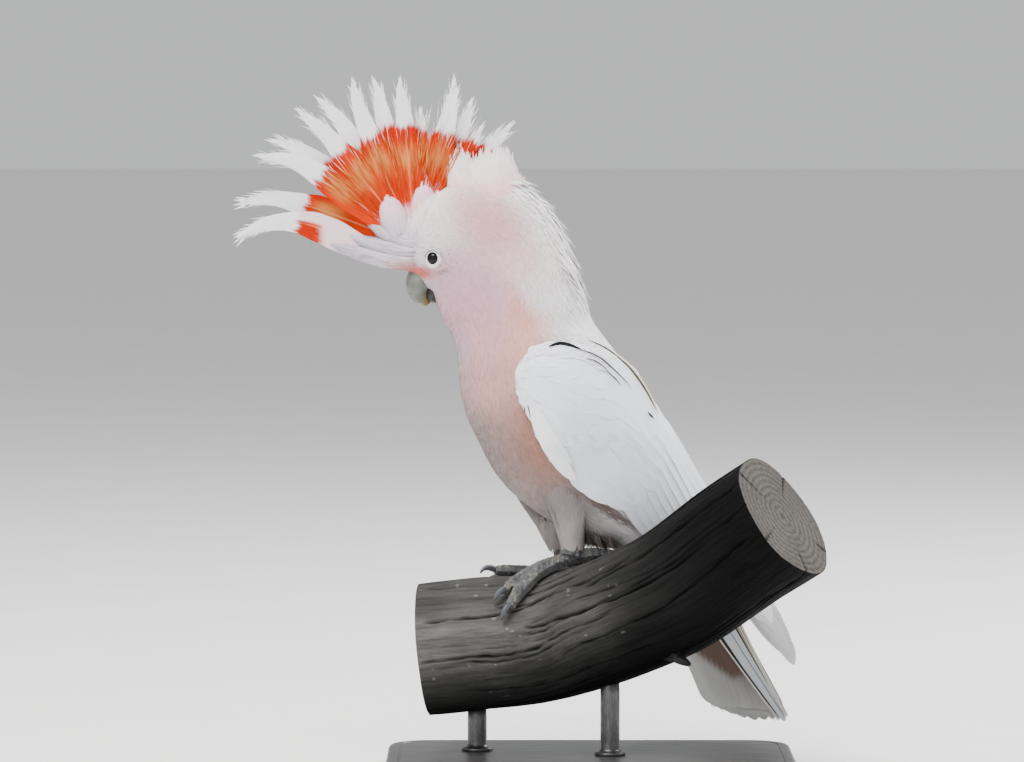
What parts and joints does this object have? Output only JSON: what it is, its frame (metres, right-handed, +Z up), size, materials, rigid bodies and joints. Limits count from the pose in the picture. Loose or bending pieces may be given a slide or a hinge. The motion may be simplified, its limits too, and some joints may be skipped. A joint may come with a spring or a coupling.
{
  "type": "pink cockatoo on a display perch",
  "caption": "Still, life-size pink cockatoo with a raised red, yellow and white crest, gripping a short cut length of dark branch on a plain stand.",
  "frame": {"origin": "centre of the underside of the stand's base", "axes": "+Z up; the bird faces -X, so its left side faces -Y and the branch climbs towards +X"},
  "size_m": [0.3612, 0.1808, 0.4269],
  "materials": {
    "pink_feathers": "soft pale salmon-pink feathers, matt",
    "white_feathers": "close white feathers with a silky sheen",
    "crest_feathers": "long feathers, red-orange banded with yellow and tipped with white",
    "horn": "bone-grey horn, satin",
    "eye": "wet, almost black",
    "scaly_skin": "small grey scutes, dry",
    "claw": "dark grey horn, satin",
    "weathered_wood": "barkless, weathered nearly black, with long cracks",
    "stand_base": "painted plain dark grey, satin",
    "stand_rod": "painted plain dark grey, satin"
  },
  "bodies": {
    "root": {"head": "pink_feathers", "neck": "pink_feathers", "breast": "pink_feathers", "abdomen": "pink_feathers", "thigh_left": "pink_feathers", "thigh_right": "pink_feathers", "rump": "white_feathers", "tail": "white_feathers", "wing_left_coverts": "white_feathers", "wing_left_secondaries": "white_feathers", "wing_left_primaries": "white_feathers", "wing_right_coverts": "white_feathers", "wing_right_secondaries": "white_feathers", "wing_right_primaries": "white_feathers", "crest": "crest_feathers", "bill_upper": "horn", "bill_lower": "horn", "eye_left": "eye", "eye_right": "eye", "shank_left": "scaly_skin", "shank_right": "scaly_skin", "toe_1_left": "scaly_skin", "toe_2_left": "scaly_skin", "toe_3_left": "scaly_skin", "toe_4_left": "scaly_skin", "toe_1_right": "scaly_skin", "toe_2_right": "scaly_skin", "toe_3_right": "scaly_skin", "toe_4_right": "scaly_skin", "claw_1_left": "claw", "claw_2_left": "claw", "claw_3_left": "claw", "claw_4_left": "claw", "claw_1_right": "claw", "claw_2_right": "claw", "claw_3_right": "claw", "claw_4_right": "claw", "perch": "weathered_wood", "stand_base": "stand_base", "stand_rod_1": "stand_rod", "stand_rod_2": "stand_rod"}
  },
  "joints": []
}
